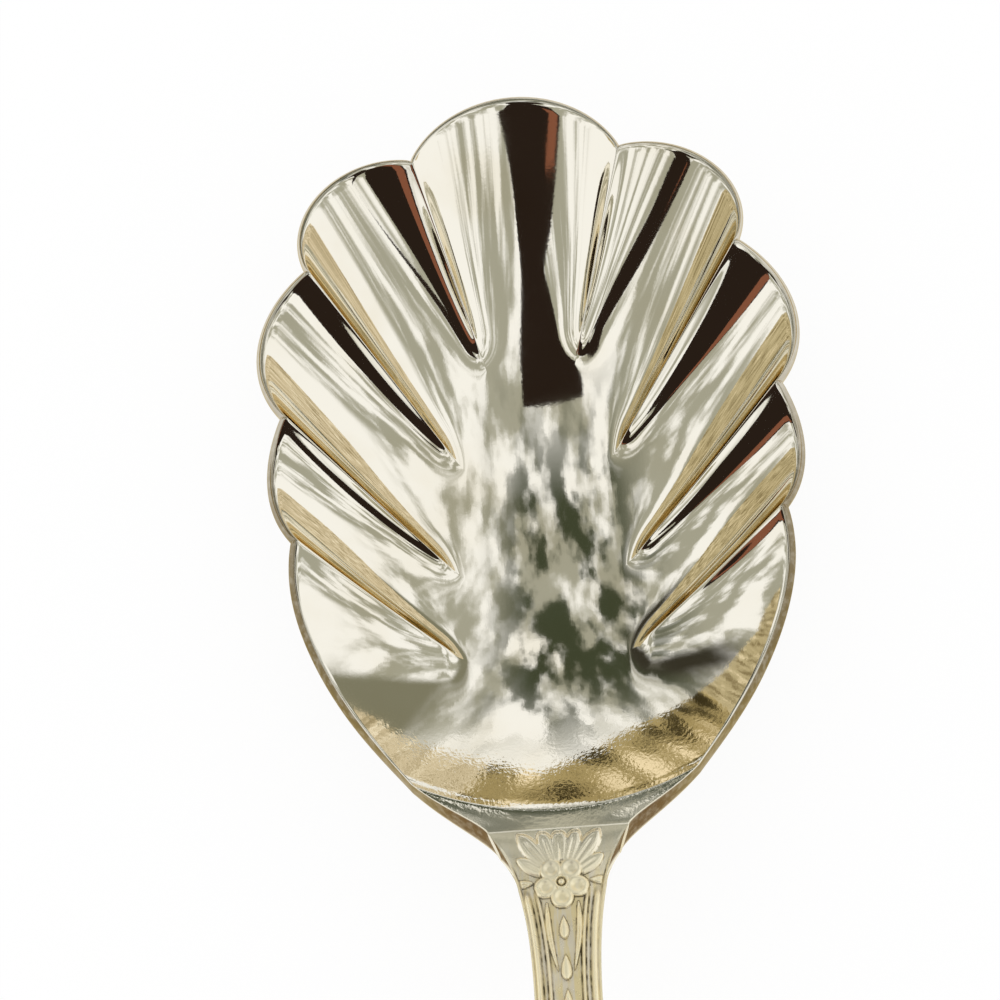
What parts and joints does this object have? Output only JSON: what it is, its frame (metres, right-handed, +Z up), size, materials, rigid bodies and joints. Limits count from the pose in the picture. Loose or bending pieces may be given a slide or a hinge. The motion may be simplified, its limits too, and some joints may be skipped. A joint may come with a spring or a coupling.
{
  "type": "sugar spoon",
  "caption": "Silver-plated sugar spoon with a deep fluted shell bowl, a scalloped rim and a thread-edged handle that spreads towards its end.",
  "frame": {"origin": "middle of the spoon's length and width, on the table that it lies on", "axes": "+Y along the spoon towards the tip of the bowl, +X to its right seen from above, +Z up out of the bowl"},
  "size_m": [0.0404, 0.1546, 0.0165],
  "materials": {
    "bowl_plate": "polished",
    "handle_plate": "gloss",
    "solder": "satin"
  },
  "bodies": {
    "root": {"bowl": "bowl_plate", "handle": "handle_plate", "braze_seam": "solder"}
  },
  "joints": []
}
